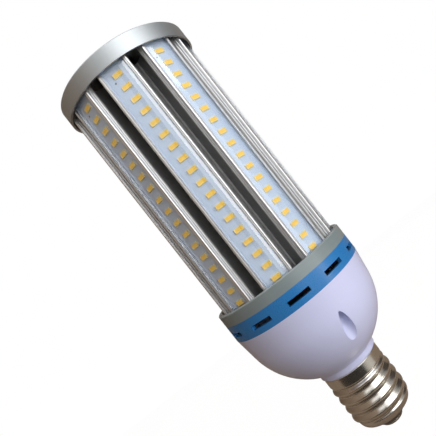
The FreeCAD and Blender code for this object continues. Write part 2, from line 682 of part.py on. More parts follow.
def make_neutral_lead():
    """From the inside of the screw shell, past the housing's sleeve, to the driver board."""
    wall_x = THREAD_ROOT_R - SHELL_SHEET - SIDE_CLEARANCE - LEAD_R
    sleeve_x = NECK_BORE_R - LEAD_BEND
    z_low = INSULATOR_TOP + LEAD_BEND
    points = [
        FreeCAD.Vector(wall_x, 0, INSULATOR_TOP),
        FreeCAD.Vector(wall_x, 0, z_low),
        FreeCAD.Vector(sleeve_x, 0, z_low + 2 * LEAD_BEND),
        FreeCAD.Vector(sleeve_x, 0, Z_DRIVER_BOARD),
    ]
    return tube_along(points, LEAD_BEND, LEAD_R)


def make_led_lead(x, across, angle):
    """From the driver board up the tube, out over the end of a head and through the board's notch."""
    out = panel_point(across, Y_BOARD_FACE + LED_LEAD_TAIL, angle, Z_WIRES)
    points = [
        FreeCAD.Vector(x, 0, Z_DRIVER_BOARD + DRIVER_BOARD_THICKNESS),
        FreeCAD.Vector(x, 0, Z_WIRES),
        out,
    ]
    return tube_along(points, LED_LEAD_BEND, LED_LEAD_R)


def make_link_wires():
    """Straight wires from each board's upper end to the next, across the gaps between the heads."""
    links = []
    outward = Y_FLOOR + BOARD_THICKNESS / 2
    z = Z_SINK_TOP + BOARD_PROUD + LED_LEAD_R
    for left, right in zip(WIRED_ANGLES, WIRED_ANGLES[1:]):
        start = panel_point(LINK_PLACE, outward, left, z)
        end = panel_point(-LINK_PLACE, outward, right, z)
        run = end - start
        links.append(Part.makeCylinder(LED_LEAD_R, run.Length, start, run))
    return Part.makeCompound(links)


def make_all():
    """Every piece of the lamp by name."""
    pieces = {
        "heat_sink": make_heat_sink(),
        "top_cap": make_top_cap(),
        "cap_screws": make_cap_screws(),
        "lower_ring": make_lower_ring(),
        "ring_screws": make_ring_screws(),
        "vent_ring": make_vent_ring(),
        "base_housing": make_base_housing(),
        "housing_screws": make_housing_screws(),
        "screw_shell": make_screw_shell(),
        "cap_insulator": make_cap_insulator(),
        "centre_contact": make_centre_contact(),
        "driver_board": make_driver_board(),
        "transformer_core": make_transformer_core(),
        "transformer_winding": make_transformer_winding(),
        "input_capacitor": hung_cylinder(*INPUT_CAPACITOR, INPUT_CAPACITOR_PLACE),
        "output_capacitor": hung_cylinder(*OUTPUT_CAPACITOR, OUTPUT_CAPACITOR_PLACE),
        "line_choke": make_choke(),
        "bridge_rectifier": hung_box(RECTIFIER_SIZE, RECTIFIER_PLACE),
        "live_lead": make_live_lead(),
        "neutral_lead": make_neutral_lead(),
        "led_lead_positive": make_led_lead(LED_LEAD_X[0], -NOTCH_PLACE, WIRED_ANGLES[0]),
        "led_lead_negative": make_led_lead(LED_LEAD_X[1], NOTCH_PLACE, WIRED_ANGLES[-1]),
        "link_wires": make_link_wires(),
    }
    for k, angle in enumerate(PANEL_ANGLES, start=1):
        pieces["led_board_%d" % k] = make_board(angle)
        pieces["led_chips_%d" % k] = make_chips(angle)
        pieces["light_cover_%d" % k] = make_cover(angle)
    return pieces


os.makedirs("parts", exist_ok=True)
for name, shape in make_all().items():
    shape.exportStep(os.path.join("parts", name + ".step"))
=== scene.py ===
import math

import bpy
import numpy as np
from mathutils import Matrix, Vector


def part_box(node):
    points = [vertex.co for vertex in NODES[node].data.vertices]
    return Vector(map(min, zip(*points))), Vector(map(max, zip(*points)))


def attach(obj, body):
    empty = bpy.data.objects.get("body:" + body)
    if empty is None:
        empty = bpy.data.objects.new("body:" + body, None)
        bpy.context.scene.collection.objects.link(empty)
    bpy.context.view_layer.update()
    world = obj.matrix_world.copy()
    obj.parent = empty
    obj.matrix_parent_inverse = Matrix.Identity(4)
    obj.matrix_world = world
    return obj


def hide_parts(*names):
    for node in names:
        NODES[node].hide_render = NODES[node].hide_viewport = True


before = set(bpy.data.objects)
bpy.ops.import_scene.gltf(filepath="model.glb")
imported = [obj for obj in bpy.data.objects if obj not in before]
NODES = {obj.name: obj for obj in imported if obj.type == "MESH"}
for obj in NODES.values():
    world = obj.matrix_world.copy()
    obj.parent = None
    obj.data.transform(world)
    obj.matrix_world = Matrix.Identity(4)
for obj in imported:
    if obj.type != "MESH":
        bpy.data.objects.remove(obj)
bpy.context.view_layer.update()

MM = 0.001
FULL_TURN = 2 * math.pi
QUARTER_TURN = 0.5 * math.pi
PANEL_COUNT = 9
PANEL_STEP = FULL_TURN / PANEL_COUNT

# Sockets of nodes, by their place
OBJECT_POINT = 3                       # outputs of Texture Coordinate, Layer Weight and Light Path
FACING = 1
CAMERA_RAY, GLOSSY_RAY, TRANSMISSION_RAY = 0, 3, 6
MIX_SHARE, MIX_FIRST, MIX_SECOND = 0, 6, 7    # inputs of Mix for colours, and its output
MIXED_COLOUR = 2

# Heat sink and lower ring: stretches in millimetres, over which one finish goes over into the next. On the
# heat sink, the colour deep between the panels is painted shade, and a painted highlight line runs at the
# foot of each web
TUBE_TO_WEB_SHADE = (19.4, 20.0)             # outward from the axis
FOOT_HIGHLIGHT_STARTS, FOOT_HIGHLIGHT_ENDS = (18.75, 18.95), (19.75, 19.55)    # painted highlight line at the foot of a web
SHADE_TO_HEAD = (35.6, 37.4)
BARE_METAL = (36.0, 37.4)
LIP_FACE = (40.0, 40.5)
RING_EDGE = (114.1, 114.8)             # up the axis

# Screw cap, in millimetres
SHELL_SHEET = 0.6
SHELL_LOW, SHELL_TOP = 8.2, 45.0
SHELL_LIP_R = 15.2
SHELL_CURVE_TOP = 11.6
THREAD_ROOT_R, THREAD_CREST_R = 17.95, 19.7
THREAD_PITCH = 6.35
THREAD_PHASE = 11.75                   # a crest's height at +X
THREAD_FULLNESS = 0.9                  # below 1, the crests are broader than the grooves
THREAD_STARTS = (SHELL_CURVE_TOP - 1.2, SHELL_CURVE_TOP + 2.2)
SKIRT_R, SKIRT_LOW = 19.1, 38.0
THREAD_ENDS = (SKIRT_LOW - 2.6, SKIRT_LOW + 0.5)
SKIRT_FLARE = (SKIRT_LOW - 0.9, SKIRT_LOW + 0.9)
CONTACT_R, CONTACT_FLAT_R, CONTACT_HEIGHT = 7.5, 4.0, 2.6
CONTACT_SIDE = 0.9                     # straight side above the rolled edge
CONTACT_GROOVE = [(1.6, 0.0), (2.6, 0.0), (2.9, 0.12), (3.2, 0.12), (3.5, 0.0)]

# Screws, in millimetres
SCREW_R, SCREW_HEAD_R, SCREW_HEAD_HEIGHT = 1.5, 2.9, 2.2
SCREW_CROWN = 0.2
SCREW_EDGE = 0.12
PAN_ROUND = [(0.0, 0.9), (0.25, 0.45), (0.7, SCREW_CROWN)]    # inward and down from a head's edge
RECESS_HALF_WIDTH, RECESS_HALF_LENGTH, RECESS_DEPTH = 0.38, 1.7, 0.9
RECESS_SIDE = (0.7 * RECESS_HALF_WIDTH, 1.3 * RECESS_HALF_WIDTH)    # soft edges of its bars
RECESS_END = (0.55 * RECESS_HALF_LENGTH, RECESS_HALF_LENGTH)
SCREWS_IN_RING = 3
FIRST_SCREW = 20.0                     # degrees from the front
SCREW_GROUPS = [                       # name, node it replaces, sunk heads or not, way they face
    ("cap_screw_heads", "cap_screws", True, 1.0),
    ("housing_screw_heads", "housing_screws", False, -1.0),
]

# LED packages, in millimetres, from the node of the front panel
chips_low, chips_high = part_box("led_chips_1")
LED_COUNT = 18
LED_HALF_X = (chips_high.x - chips_low.x) / 2 / MM
LED_HALF_Z = 1.5
LED_HEIGHT = (chips_high.y - chips_low.y) / MM
LED_FOOT = chips_high.y / MM
FIRST_LED = chips_low.z / MM + LED_HALF_Z
LED_PITCH = (chips_high.z - chips_low.z - 2 * LED_HALF_Z * MM) / MM / (LED_COUNT - 1)
LED_CORNER = 0.16                      # cut off each corner
LED_SIDES = 8
SOLDER_REACH = 0.38
SOLDER_HALF_WIDTH, SOLDER_RISE = 0.62 * LED_HALF_Z, 0.30 * LED_HEIGHT
FRAME, GEL, SOLDER = 0, 1, 2           # places in a package's list of finishes

# LED boards and their covers, in millimetres
ROWS_BELOW = 100                       # whole rows, so that a fraction is taken of a positive number
COPPER_SIDE = (6.45, 6.25)             # half the width of a copper field
COPPER_GAP, GAP_SIDE = (0.16, 0.06), (6.4, 6.2)
TEST_POINT_ACROSS = -3.7
TEST_POINT_Z = FIRST_LED + LED_PITCH * (LED_COUNT - 1) - 3.0    # just below the last LED
TEST_POINT_R = (0.62, 0.42)
COVER_BOW = -0.0167                    # times the square of the distance from the middle
FACE_ON_MIRROR, GRAZING_MIRROR, GRAZING_POWER = 0.09, 0.9, 5.0

# Studio, in metres
FLOOR_HALF = 4.0
FLOOR_Z, TABLE_Z, BRIGHT_TABLE_Z = -0.0005, -0.0003, -0.0002
FLOOR_WHITE, FLOOR_WHITE_SHARE = 1.04, 0.95
CARD_HEIGHT = 0.7
CARDS = {                              # colour and shine
    "dark_card": ((0.12, 0.108, 0.095), 0.5),
    "brown_card": ((0.34, 0.26, 0.19), 0.5),
    "tan_card": ((0.42, 0.33, 0.25), 0.5),
    "black_card": ((0.05, 0.046, 0.042), 0.0),
    "pale_card": ((0.85, 0.84, 0.80), 0.5),
}
TABLES = [                             # name, stretch along x and along y, height, card
    ("front_table", (-0.14, 0.14), (-0.80, -0.05), TABLE_Z, "black_card"),
    ("left_table", (-0.60, -0.14), (-0.80, 0.50), TABLE_Z, "tan_card"),
    ("right_table", (0.14, 0.60), (-0.80, 0.50), TABLE_Z, "tan_card"),
    ("back_table", (-0.14, 0.14), (-0.05, 0.50), TABLE_Z, "tan_card"),
    ("bright_table", (0.06, 0.15), (-0.11, -0.03), BRIGHT_TABLE_Z, "pale_card"),
]
WALLS = [                              # name, two ends on the floor, card
    ("left_card", (-0.30, -0.55), (-0.30, 0.40), "brown_card"),
    ("back_left_card", (-0.30, 0.40), (-0.03, 0.45), "brown_card"),
    ("back_right_card", (0.03, 0.45), (0.51, 0.36), "tan_card"),
    ("right_card", (0.55, -0.25), (0.50, 0.35), "dark_card"),
    ("front_left_card", (-0.60, -0.65), (-0.02, -0.811), "pale_card"),
    ("front_card", (-0.02, -0.811), (0.12, -0.85), "dark_card"),
]
WORLD_LIGHT = 0.55
UNMIRRORED, MIRRORED_ONLY = "visible_glossy", "visible_diffuse"
LAMPS = [                              # name, place, width, height, power, height it faces, rays that miss it
    ("tall_lamp", (0.405, -0.587, 0.54), 0.46, 1.0, 3.85, 0.54, None),
    ("side_lamp", (0.485, -0.12, 0.275), 0.22, 0.55, 0.11, 0.275, None),
    ("top_lamp", (0.05, -0.25, 1.20), 1.0, 1.0, 2.0, 0.15, None),
    ("fill_lamp", (0.06, -0.95, 0.12), 0.6, 0.24, 2.2, 0.12, UNMIRRORED),
    ("low_lamp", (0.44, -0.26, 0.05), 0.3, 0.1, 0.5, 0.06, UNMIRRORED),
    ("glint_lamp", (0.43, -0.29, 0.0225), 0.09, 0.045, 0.12, 0.06, None),
    ("corner_lamp", (0.63, -0.307, 0.62), 0.285, 0.3, 0.48, 0.26, MIRRORED_ONLY),
    ("back_lamp", (-0.03, 0.36, 0.20), 0.2, 0.5, 0.32, 0.15, UNMIRRORED),
]

# Camera, in metres and in points of the picture
PICTURE_SIZE = 436.0
SENSOR_MM = 36.0
CAMERA_SPOT = (0.0200, -0.2725, 0.1444)
CAMERA_AHEAD = (-0.0312, 0.9995)       # along x and y
CAMERA_LEAN = 38.1                     # degrees
FOCAL_POINTS = 448.2
CENTRE_X, CENTRE_Y = 261.9, 219.3


class Value:
    """A shader socket in a Python expression: each operator adds one Math node."""

    def __init__(self, finish, socket):
        self.finish = finish
        self.socket = socket

    def maths(self, operation, *others):
        return self.finish.node("ShaderNodeMath", {"operation": operation}, [self, *others])[0]

    def maths_after(self, operation, other):
        """As maths, with the other value first."""
        return self.finish.node("ShaderNodeMath", {"operation": operation}, [other, self])[0]

    def __add__(self, other):
        return self.maths("ADD", other)

    def __mul__(self, other):
        return self.maths("MULTIPLY", other)

    def __sub__(self, other):
        return self.maths("SUBTRACT", other)

    def __rsub__(self, other):
        return self.maths_after("SUBTRACT", other)

    def __truediv__(self, other):
        return self.maths("DIVIDE", other)

    def __rtruediv__(self, other):
        return self.maths_after("DIVIDE", other)

    def __pow__(self, other):
        return self.maths("POWER", other)

    def __rpow__(self, other):
        return self.maths_after("POWER", other)

    def __abs__(self):
        return self.maths("ABSOLUTE")

    __radd__ = __add__
    __rmul__ = __mul__

    def smooth(self, low, high):
        """0 below low, 1 above high and a soft step between; low above high turns it round."""
        settings = {"interpolation_type": "SMOOTHSTEP"}
        inputs = {"Value": self, "From Min": low, "From Max": high}
        return self.finish.node("ShaderNodeMapRange", settings, inputs)[0]


class Finish:
    """The nodes of one material, or of the world where that is given as the owner."""

    def __init__(self, name, owner=None):
        self.material = owner or bpy.data.materials.new(name)
        self.material.use_nodes = True
        self.tree = self.material.node_tree
        self.tree.nodes.clear()

    def node(self, kind, settings=None, inputs=None):
        """Adds a node, sets it up, feeds its sockets and gives its outputs in order."""
        made = self.tree.nodes.new(kind)
        for key, value in (settings or {}).items():
            setattr(made, key, value)
        pairs = inputs.items() if isinstance(inputs, dict) else enumerate(inputs or [])
        for key, value in pairs:
            self.feed(made.inputs[key], value)
        return [Value(self, socket) for socket in made.outputs]

    def feed(self, socket, value):
        """Links a value to a socket, or sets a number or a colour on it."""
        if isinstance(value, Value):
            self.tree.links.new(value.socket, socket)
        elif socket.type == "RGBA":
            socket.default_value = (*value, 1.0)
        else:
            socket.default_value = value

    def place(self):
        """Object coordinates in millimetres, as a vector."""
        point = self.node("ShaderNodeTexCoord")[OBJECT_POINT]
        inputs = {"Vector": point, "Scale": 1.0 / MM}
        return self.node("ShaderNodeVectorMath", {"operation": "SCALE"}, inputs)[0]

    def parts(self, vector):
        """The x, y and z of a vector."""
        return self.node("ShaderNodeSeparateXYZ", None, [vector])

    def vector(self, x, y, z):
        """A vector from its x, y and z."""
        return self.node("ShaderNodeCombineXYZ", None, [x, y, z])[0]

    def noise(self, vector, scale, detail=2.0, roughness=0.5):
        """Soft noise between 0 and 1, finer as scale goes up."""
        inputs = {"Vector": vector, "Scale": scale, "Detail": detail, "Roughness": roughness}
        return self.node("ShaderNodeTexNoise", None, inputs)[0]

    def colour(self, share, first, second):
        """Colour from first to second as share goes from 0 to 1."""
        inputs = {MIX_SHARE: share, MIX_FIRST: first, MIX_SECOND: second}
        return self.node("ShaderNodeMix", {"data_type": "RGBA"}, inputs)[MIXED_COLOUR]

    def bump(self, height, strength, distance_mm):
        """Normal of a relief, where a height of 1 stands distance_mm proud."""
        inputs = {"Height": height, "Strength": strength, "Distance": distance_mm * MM}
        return self.node("ShaderNodeBump", None, inputs)[0]

    def surface(self, inputs):
        """Principled surface as the material's output."""
        return self.show(self.node("ShaderNodeBsdfPrincipled", None, inputs)[0])

    def show(self, shader):
        """A shader as the material's output."""
        self.node("ShaderNodeOutputMaterial", None, [shader])
        return self.material

    def seen(self):
        """1 for a ray from the camera, from a mirror or through glass, and 0 for light on a matt surface."""
        path = self.node("ShaderNodeLightPath")
        mirrored = path[CAMERA_RAY].maths("MAXIMUM", path[GLOSSY_RAY])
        return mirrored.maths("MAXIMUM", path[TRANSMISSION_RAY])


def polar(finish):
    """Height, distance from the axis and angle round it, of a point on the surface."""
    x, y, z = finish.parts(finish.place())
    return z, (x * x + y * y).maths("SQRT"), y.maths("ARCTAN2", x)


def on_panel(finish):
    """Distance across the nearest panel from its middle, distance outward from the axis, and height. The
    angle is counted in panels from the front one, a quarter turn before +X, and its fraction is kept."""
    z, r, angle = polar(finish)
    panels = angle / PANEL_STEP + 0.25 * PANEL_COUNT
    turn = ((panels + 0.5).maths("FRACT") - 0.5) * PANEL_STEP
    return r * turn.maths("SINE"), r * turn.maths("COSINE"), z


def extruded_aluminium():
    """Satin metal with fine draw lines along the axis. The lips are smooth, the sides of the heads duller,
    and deep between the panels the colour is darkened as painted shade, with a painted highlight line at the
    foot of each web."""
    f = Finish("extruded_aluminium")
    x, y, z = f.parts(f.place())
    outward = on_panel(f)[1]
    lines = f.noise(f.vector(x * 2.0, y * 2.0, z * 0.012), 1.0, 3.0, 0.6)
    broad = f.noise(f.vector(x * 0.25, y * 0.25, z * 0.02), 1.0, 2.0)
    lip = outward.smooth(*LIP_FACE)
    bright = f.colour(lines, (0.66, 0.67, 0.69), (0.86, 0.87, 0.89))
    # painted shade: the colour darkens deep between the panels, darkest on the webs
    gap_painted_shade_and_highlight = f.colour(outward.smooth(*TUBE_TO_WEB_SHADE), (0.54, 0.54, 0.545), (0.33, 0.335, 0.335))
    # painted highlight: a near-white line at the foot of each web
    foot = outward.smooth(*FOOT_HIGHLIGHT_STARTS) * outward.smooth(*FOOT_HIGHLIGHT_ENDS)
    gap_painted_shade_and_highlight = f.colour(foot, gap_painted_shade_and_highlight, (0.95, 0.95, 0.95))
    return f.surface({
        # the painted shade goes over into the bright metal of the heads
        "Base Color": f.colour(outward.smooth(*SHADE_TO_HEAD), gap_painted_shade_and_highlight, bright),
        "Metallic": 0.35 + outward.smooth(*BARE_METAL) * 0.65,
        "Roughness": 0.46 - lip * 0.24 + lines * 0.08 + broad * 0.06,
        "Normal": f.bump(lines, 0.10, 0.05),
    })


def turned_aluminium():
    """Lathe-turned metal: rings of fine tool marks round the axis, over the side and the end."""
    f = Finish("turned_aluminium")
    z, r, angle = polar(f)
    marks = f.noise(f.vector(z * 9.0, r * 9.0, angle * 0.6), 1.0, 3.0, 0.65)
    patches = f.noise(f.vector(z * 0.2, r * 0.1, angle * 2.0), 1.0, 2.0)
    return f.surface({
        "Base Color": f.colour(marks, (0.40, 0.43, 0.45), (0.55, 0.58, 0.60)),
        "Metallic": 1.0,
        "Roughness": 0.44 + marks * 0.10 + patches * 0.06,
        "Normal": f.bump(marks, 0.30, 0.04),
    })


def moulded(name, colour, shade, roughness, coat, shine=0.5):
    """Moulded plastic: a little cloudiness in the colour and a faint grain in the gloss."""
    grain_mm = 0.35
    f = Finish(name)
    place = f.place()
    cloud = f.noise(place, 0.05, 3.0)
    grain = f.noise(place, 1.0 / grain_mm, 2.0)
    return f.surface({
        "Base Color": f.colour(cloud, shade, colour),
        "Roughness": roughness + grain * 0.08 + cloud * 0.05,
        "Specular IOR Level": shine,
        "Coat Weight": coat,
        "Coat Roughness": 0.12,
        "Normal": f.bump(grain, 0.06, 0.03),
    })


def grey_paint():
    """Satin grey coat with a fine orange peel, and paler in patches towards the upper edge."""
    f = Finish("grey_paint")
    place = f.place()
    z = f.parts(place)[2]
    peel = f.noise(place, 2.2, 2.0)
    # paler colour in patches towards the upper edge
    paler_top_edge = z.smooth(*RING_EDGE) * f.noise(place, 0.6, 3.0)
    tone = f.colour(f.noise(place, 0.06, 2.0), (0.18, 0.222, 0.232), (0.235, 0.28, 0.29))
    return f.surface({
        "Base Color": f.colour(paler_top_edge * 0.7, tone, (0.42, 0.45, 0.45)),
        "Metallic": 0.04,
        "Roughness": 0.30 + peel * 0.10,
        "Normal": f.bump(peel, 0.12, 0.04),
    })


def board_white():
    """White solder mask: raised copper fields between the LEDs show as a faint relief, with a test point."""
    f = Finish("led_board_white")
    across, _, z = on_panel(f)
    row = ((z - FIRST_LED) / LED_PITCH + (ROWS_BELOW + 0.5)).maths("FRACT") - 0.5
    gap = abs(row * LED_PITCH).smooth(*COPPER_GAP) * abs(across).smooth(*GAP_SIDE)
    copper = abs(across).smooth(*COPPER_SIDE) * (1 - gap)
    aside = across - TEST_POINT_ACROSS
    above = z - TEST_POINT_Z
    spot = (aside * aside + above * above).maths("SQRT").smooth(*TEST_POINT_R)
    grain = f.noise(f.place(), 2.5, 2.0)
    white = f.colour(copper, (0.55, 0.66, 0.84), (0.62, 0.74, 0.92))
    return f.surface({
        "Base Color": f.colour(spot, white, (0.06, 0.06, 0.07)),
        "Roughness": 0.30 + grain * 0.15,
        "Normal": f.bump(copper + grain * 0.05, 0.30, 0.05),
    })


def phosphor():
    """Yellow gel in warmer and paler patches, with a fine speckle of phosphor grains, and a faint painted
    glow in the same colour.
    """
    f = Finish("phosphor_gel")
    speckle = f.noise(f.place(), 9.0, 2.0)
    patch = f.noise(f.place(), 0.35, 1.0)
    tone = f.colour(speckle * 0.6 + patch * 0.4, (0.96, 0.54, 0.05), (1.0, 0.74, 0.12))
    return f.surface({
        "Base Color": tone,
        # painted glow: the gel gives off a little light of its own colour
        "Emission Color": tone,
        "Emission Strength": 0.12,
        "Roughness": 0.34 + speckle * 0.12,
        "Normal": f.bump(speckle, 0.15, 0.02),
    })


def grained(name, scale, detail, dark, light, roughness, spread, metallic=0.0):
    """Plain finish with a fine grain that varies the colour and the gloss."""
    f = Finish(name)
    grain = f.noise(f.place(), scale, detail)
    return f.surface({
        "Base Color": f.colour(grain, dark, light),
        "Metallic": metallic,
        "Roughness": roughness + grain * spread,
    })


def clear_cover():
    """Clear, slightly bowed sheet: lets everything through and mirrors more towards grazing angles, with
    faint scuffs along it."""
    f = Finish("clear_cover")
    x, y, z = f.parts(f.place())
    across = on_panel(f)[0]
    scuff = f.noise(f.vector(x * 2.0, y * 2.0, z * 0.05), 1.0, 3.0)
    gloss = f.node("ShaderNodeBsdfPrincipled", None, {
        "Base Color": f.colour(scuff, (0.90, 0.93, 0.96), (0.97, 0.98, 1.0)),
        "Roughness": 0.07 + scuff * 0.02,
        "Metallic": 1.0,
        "Normal": f.bump(across * across * COVER_BOW, 1.0, 1.0),
    })[0]
    through = f.node("ShaderNodeBsdfTransparent", None, {"Color": (0.985, 0.99, 0.995)})[0]
    grazing = f.node("ShaderNodeLayerWeight", None, {"Blend": 0.5})[FACING]
    mirror = FACE_ON_MIRROR + GRAZING_MIRROR * grazing ** GRAZING_POWER
    return f.show(f.node("ShaderNodeMixShader", None, [mirror, through, gloss])[0])


def nickel():
    """Bright nickel plate, warm grey, with rolling marks round the axis and a few dull patches."""
    f = Finish("nickel_plate")
    z, r, angle = polar(f)
    marks = f.noise(f.vector(z * 6.0, r * 6.0, angle * 0.5), 1.0, 3.0, 0.6)
    dull = f.noise(f.place(), 0.12, 3.0)
    return f.surface({
        "Base Color": f.colour(dull, (0.56, 0.53, 0.48), (0.74, 0.71, 0.66)),
        "Metallic": 1.0,
        "Roughness": 0.13 + marks * 0.10 + dull * 0.07,
        "Normal": f.bump(marks, 0.10, 0.02),
    })


def surface_mesh(name, points, faces, materials, indices=None, flat=False):
    """Object at the origin from points in millimetres. Where the faces enclose a negative volume, the sum
    of corner times cross product over their triangles, they are turned to point outwards."""
    points = np.asarray(points, float).reshape(-1, 3) * MM
    corners = [(f[0], f[k], f[k + 1]) for f in faces for k in range(1, len(f) - 1)]
    tri = points[np.array(corners)]
    if np.einsum("ij,ij->", tri[:, 0], np.cross(tri[:, 1], tri[:, 2])) < 0:
        faces = turned_round(faces)
    mesh = bpy.data.meshes.new(name)
    mesh.from_pydata(points.tolist(), [], [list(map(int, f)) for f in faces])
    for material in materials:
        mesh.materials.append(material)
    if indices is not None:
        mesh.polygons.foreach_set("material_index", np.asarray(indices, np.int32))
    mesh.polygons.foreach_set("use_smooth", np.full(len(faces), not flat))
    mesh.update()
    piece = bpy.data.objects.new(name, mesh)
    bpy.context.scene.collection.objects.link(piece)
    return piece


def ring_faces(rings, around, closed=False):
    """Quads between neighbouring rings of points; closed joins the last ring to the first."""
    i = np.arange(rings if closed else rings - 1)[:, None]
    j = np.arange(around)[None, :]
    here, after = i * around, (i + 1) % rings * around
    beside = (j + 1) % around
    quads = [here + j, here + beside, after + beside, after + j]
    return np.stack(quads, -1).reshape(-1, 4).tolist()


def end_fan(ring, around, pole):
    """Triangles from one ring to a single point."""
    j = np.arange(around)
    start = ring * around
    return np.stack([start + j, start + (j + 1) % around, np.full(around, pole)], -1).tolist()


def turned_round(faces):
    """The same faces, pointing the other way."""
    return [f[::-1] for f in faces]


def repeated(faces, size, count):
    """The same faces for each of a number of copies, which have size points each."""
    return [[i + k * size for i in f] for k in range(count) for f in faces]


def round_angles(around):
    """Evenly spread angles of a full turn."""
    return FULL_TURN * np.arange(around) / around


def soft_step(t, low, high):
    """0 below low, 1 above high, and three squares less two cubes of the share between."""
    s = np.clip((t - low) / (high - low), 0.0, 1.0)
    return s * s * (3.0 - 2.0 * s)


def shell_radius(z, turn):
    """Outside of the screw shell. The base is a quarter ellipse at the lip, a straight wall and a soft flare
    to the skirt. A raised cosine wave of height and turn, which is the knuckle thread, stands on the wall and
    fades out at both ends."""
    lip_r = SHELL_LIP_R + SHELL_SHEET
    rise = np.clip((SHELL_CURVE_TOP - z) / (SHELL_CURVE_TOP - SHELL_LOW), 0.0, 1.0)
    base = lip_r + (THREAD_ROOT_R - lip_r) * np.sqrt(1.0 - rise ** 2)
    base = base + (SKIRT_R - THREAD_ROOT_R) * soft_step(z, *SKIRT_FLARE)
    wave = 0.5 + 0.5 * np.cos(FULL_TURN * ((z - THREAD_PHASE) / THREAD_PITCH - turn))
    fade = soft_step(z, *THREAD_STARTS) * (1 - soft_step(z, *THREAD_ENDS))
    return base + (THREAD_CREST_R - THREAD_ROOT_R) * wave ** THREAD_FULLNESS * fade


def make_screw_shell(material):
    """Sheet shell: the outside and, one sheet inwards, the inside, joined at the lip and at the top edge.
    Radius is a function of height and turn on a grid of rings."""
    around, curve_rings, wall_rings, inside_rings = 216, 13, 132, 56
    turn = np.arange(around) / around
    curve = 1 - np.cos(np.linspace(0.0, QUARTER_TURN, curve_rings))
    low = SHELL_LOW + (SHELL_CURVE_TOP - SHELL_LOW) * curve
    outside = np.concatenate([low, np.linspace(SHELL_CURVE_TOP, SHELL_TOP, wall_rings)[1:]])
    inside = np.linspace(SHELL_TOP, SHELL_LOW + SHELL_SHEET, inside_rings)
    z = np.concatenate([[SHELL_LOW], outside, inside])[:, None] + 0.0 * turn[None, :]
    r = shell_radius(z, turn[None, :])
    first_inside = 1 + len(outside)
    r[first_inside:] -= SHELL_SHEET
    r[0] = SHELL_LIP_R
    r[-1] = SHELL_LIP_R
    angle = FULL_TURN * turn[None, :]
    points = np.stack([r * np.cos(angle), r * np.sin(angle), z], -1)
    return surface_mesh("screw_shell_thread", points, ring_faces(len(z), around, True), [material])


def make_contact(material):
    """Contact button: a flat end with a shallow ring groove, which rolls over in a quarter ellipse to the
    side. The profile is turned round the axis."""
    around, roll_rings = 96, 9
    roll = np.linspace(0.0, QUARTER_TURN, roll_rings)
    curve = np.stack([
        CONTACT_FLAT_R + (CONTACT_R - CONTACT_FLAT_R) * np.sin(roll),
        (CONTACT_HEIGHT - CONTACT_SIDE) * (1 - np.cos(roll)),
    ], -1)
    profile = np.concatenate([CONTACT_GROOVE, curve, [(CONTACT_R, CONTACT_HEIGHT)]])
    angle = round_angles(around)
    r, z = profile[:, :1], np.repeat(profile[:, 1:], around, 1)
    rings = np.stack([r * np.cos(angle), r * np.sin(angle), z], -1).reshape(-1, 3)
    points = np.concatenate([rings, [[0, 0, 0], [0, 0, CONTACT_HEIGHT]]])
    count = len(profile)
    faces = ring_faces(count, around)
    faces += turned_round(end_fan(0, around, count * around))
    faces += end_fan(count - 1, around, count * around + 1)
    return surface_mesh("contact_button", points, faces, [material])


def cross_depth(x, y):
    """Depth of a cross recess, from 0 to 1: two crossed bars with soft edges."""
    def bar(a, b):
        return (1 - soft_step(np.abs(a), *RECESS_SIDE)) * (1 - soft_step(np.abs(b), *RECESS_END))
    return np.maximum(bar(x, y), bar(y, x))


def screw_points(sunk, shank):
    """Rings of one screw about its own axis, its head's face at height 0: shank, underside of the head, side,
    and the face with its cross recess. Two poles follow, in the recess and at the shank's end."""
    around, face_rings, inmost_share = 64, 20, 0.05
    angle = round_angles(around)
    if sunk:
        side = [
            (SCREW_R, -(SCREW_HEAD_R - SCREW_R)),
            (SCREW_HEAD_R - SCREW_EDGE, -SCREW_EDGE),
            (SCREW_HEAD_R, 0.0),
        ]
        crown = 0.0
    else:
        side = [
            (SCREW_R, -SCREW_HEAD_HEIGHT),
            (SCREW_HEAD_R, -SCREW_HEAD_HEIGHT),
            *[(SCREW_HEAD_R - inward, -down) for inward, down in PAN_ROUND],
        ]
        crown = SCREW_CROWN
    outer = side[-1][0]
    face_r = outer * np.linspace(1.0, inmost_share, face_rings)[1:]
    face = np.stack([face_r, -crown * (face_r / outer) ** 2], -1)
    profile = np.concatenate([[(SCREW_R, -shank)], side, face])
    x = profile[:, :1] * np.cos(angle)
    y = profile[:, :1] * np.sin(angle)
    z = np.repeat(profile[:, 1:], around, 1)
    first = len(side) + 1
    z[first:] -= RECESS_DEPTH * cross_depth(x[first:], y[first:])
    return np.stack([x, y, z], -1), np.array([[0, 0, -RECESS_DEPTH], [0, 0, -shank]])


def screw_places(node):
    """Middles of a node's screws: their vertices, parted by the share of a turn that they lie in."""
    vertices = NODES[node].data.vertices
    co = np.zeros(len(vertices) * 3, np.float32)
    vertices.foreach_get("co", co)
    co = co.reshape(-1, 3) / MM
    degrees = (np.degrees(np.arctan2(co[:, 0], -co[:, 1])) - FIRST_SCREW) % 360.0
    share = np.round(degrees / (360.0 / SCREWS_IN_RING)) % SCREWS_IN_RING
    parts = [co[share == k, :2] for k in range(SCREWS_IN_RING)]
    return [0.5 * (part.min(0) + part.max(0)) for part in parts]


def make_screws(name, node, sunk, up, material):
    """Screws in place of a node's group, one at the middle of each; up is -1 where the heads face down."""
    low, high = (np.array(c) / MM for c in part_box(node))
    face = high[2] if up > 0 else low[2]
    rings, poles = screw_points(sunk, high[2] - low[2])
    count, around = rings.shape[:2]
    single = np.concatenate([rings.reshape(-1, 3), poles])
    faces = ring_faces(count, around)
    faces += end_fan(count - 1, around, count * around)
    faces += turned_round(end_fan(0, around, count * around + 1))
    if up < 0:
        faces = turned_round(faces)
    points = [single * (1.0, 1.0, up) + (x, y, face) for x, y in screw_places(node)]
    return surface_mesh(name, np.concatenate(points), repeated(faces, len(single), len(points)), [material])


